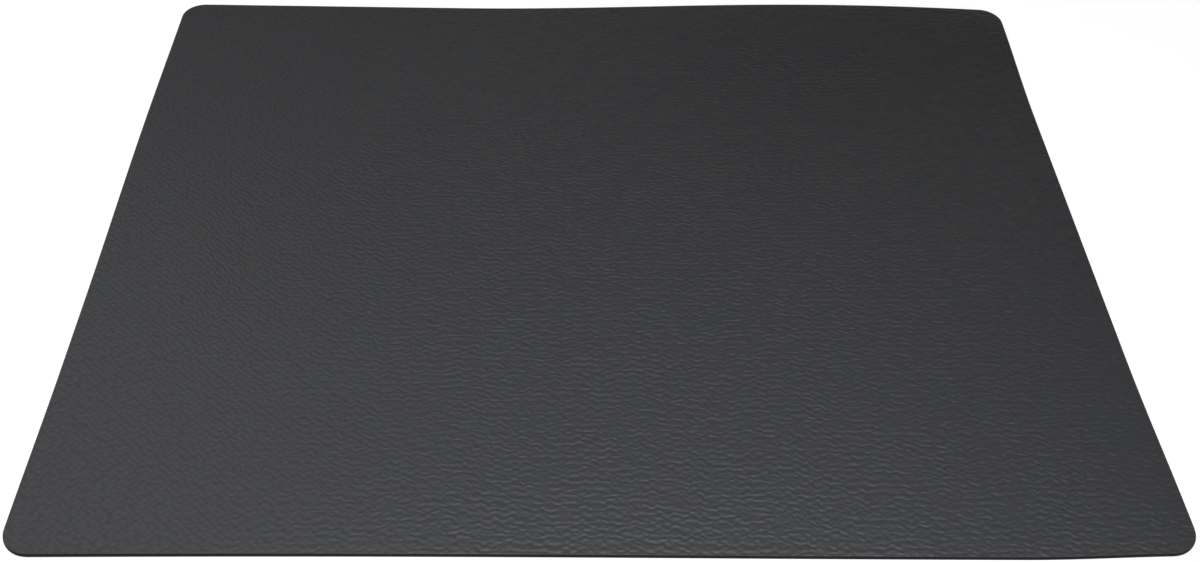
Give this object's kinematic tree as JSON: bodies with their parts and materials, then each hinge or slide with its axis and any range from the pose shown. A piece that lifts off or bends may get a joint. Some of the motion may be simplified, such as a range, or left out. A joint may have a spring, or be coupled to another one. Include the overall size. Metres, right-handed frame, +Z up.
{
  "type": "desk mat",
  "caption": "Thin rectangular desk mat with rounded corners: grained leather on a stiff board and a felt underside, with a painted cut edge.",
  "frame": {"origin": "on the desk, under the middle of the mat", "axes": "+X along the long side to the right, +Y to the back edge, +Z up out of the grained face"},
  "size_m": [0.6504, 0.5006, 0.0111],
  "materials": {
    "leather": "charcoal pebble grain, semi-matt finish",
    "adhesive": "thin transfer film, slightly tacky",
    "board": "bonded leather fibre, matt",
    "felt": "dense needled felt, matt",
    "edge_paint": "smooth dark edge paint"
  },
  "bodies": {
    "root": {"leather_cover": "leather", "cover_adhesive": "adhesive", "core_board": "board", "backing_adhesive": "adhesive", "felt_backing": "felt", "edge_seal": "edge_paint"}
  },
  "joints": []
}
